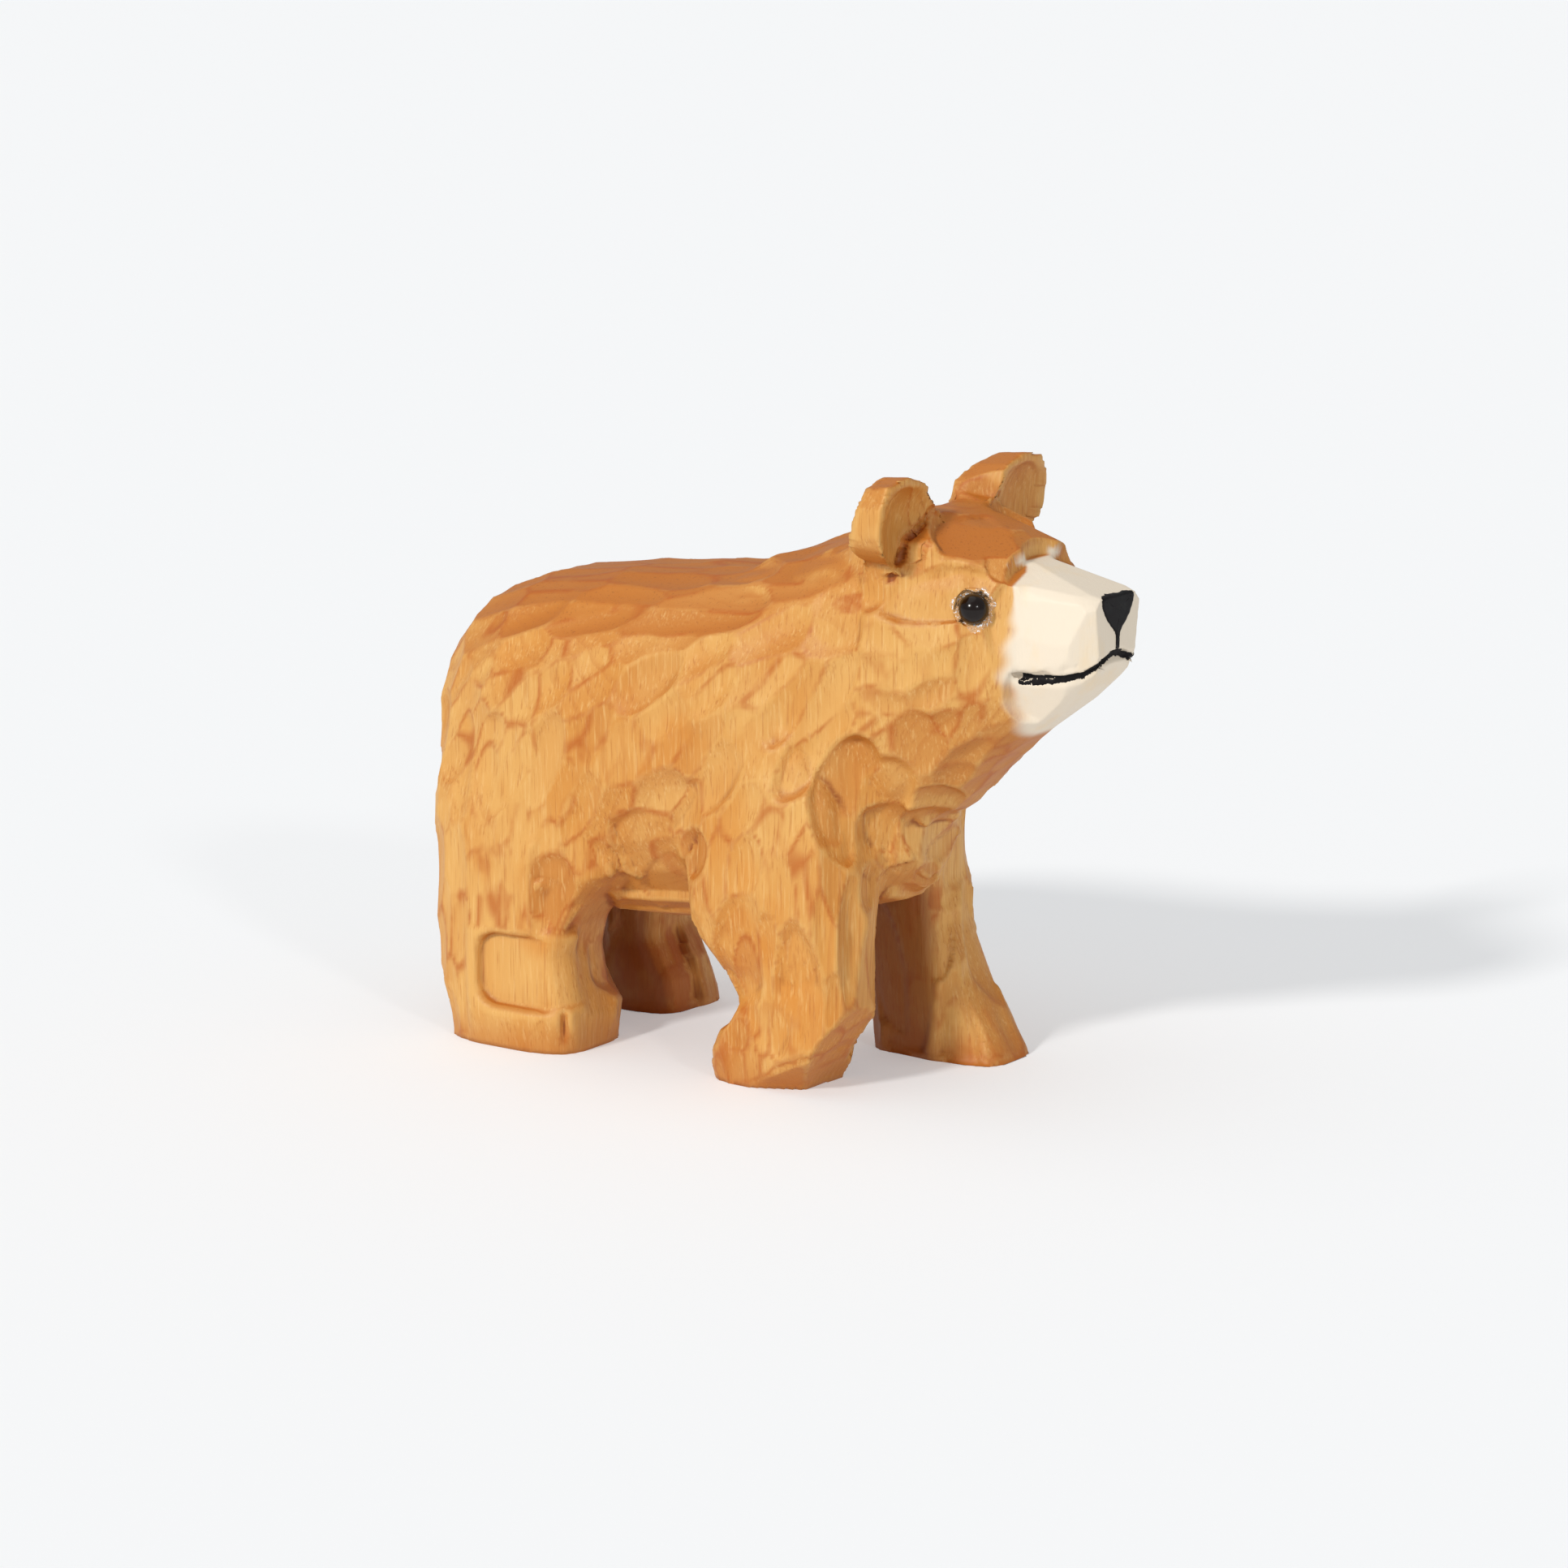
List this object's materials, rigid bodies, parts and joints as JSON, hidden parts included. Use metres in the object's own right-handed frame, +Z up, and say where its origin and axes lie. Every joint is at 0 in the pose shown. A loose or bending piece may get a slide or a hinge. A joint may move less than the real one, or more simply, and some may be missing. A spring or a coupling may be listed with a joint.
{
  "type": "carved wooden bear figurine",
  "caption": "Hand-carved wooden bear standing on four legs in a walking pose, with glass bead eyes, a pale washed muzzle and a painted nose and mouth.",
  "frame": {"origin": "centre of the bounding box at the level of the soles", "axes": "+X towards the nose, +Y towards the bear's left side, +Z up"},
  "size_m": [0.0797, 0.0323, 0.0635],
  "materials": {
    "stained_wood": "hand-carved, honey stain, satin",
    "white_wash": "thin matte wash over wood",
    "black_paint": "satin paint",
    "black_glass": "polished opaque black glass",
    "steel_wire": "drawn wire",
    "clear_glue": "clear, glossy"
  },
  "bodies": {
    "root": {"carved_body": "stained_wood", "muzzle_wash": "white_wash", "nose_paint": "black_paint", "mouth_paint": "black_paint", "eye_bead_right": "black_glass", "eye_bead_left": "black_glass", "eye_wire_right": "steel_wire", "eye_wire_left": "steel_wire", "eye_glue_right": "clear_glue", "eye_glue_left": "clear_glue"}
  },
  "joints": []
}
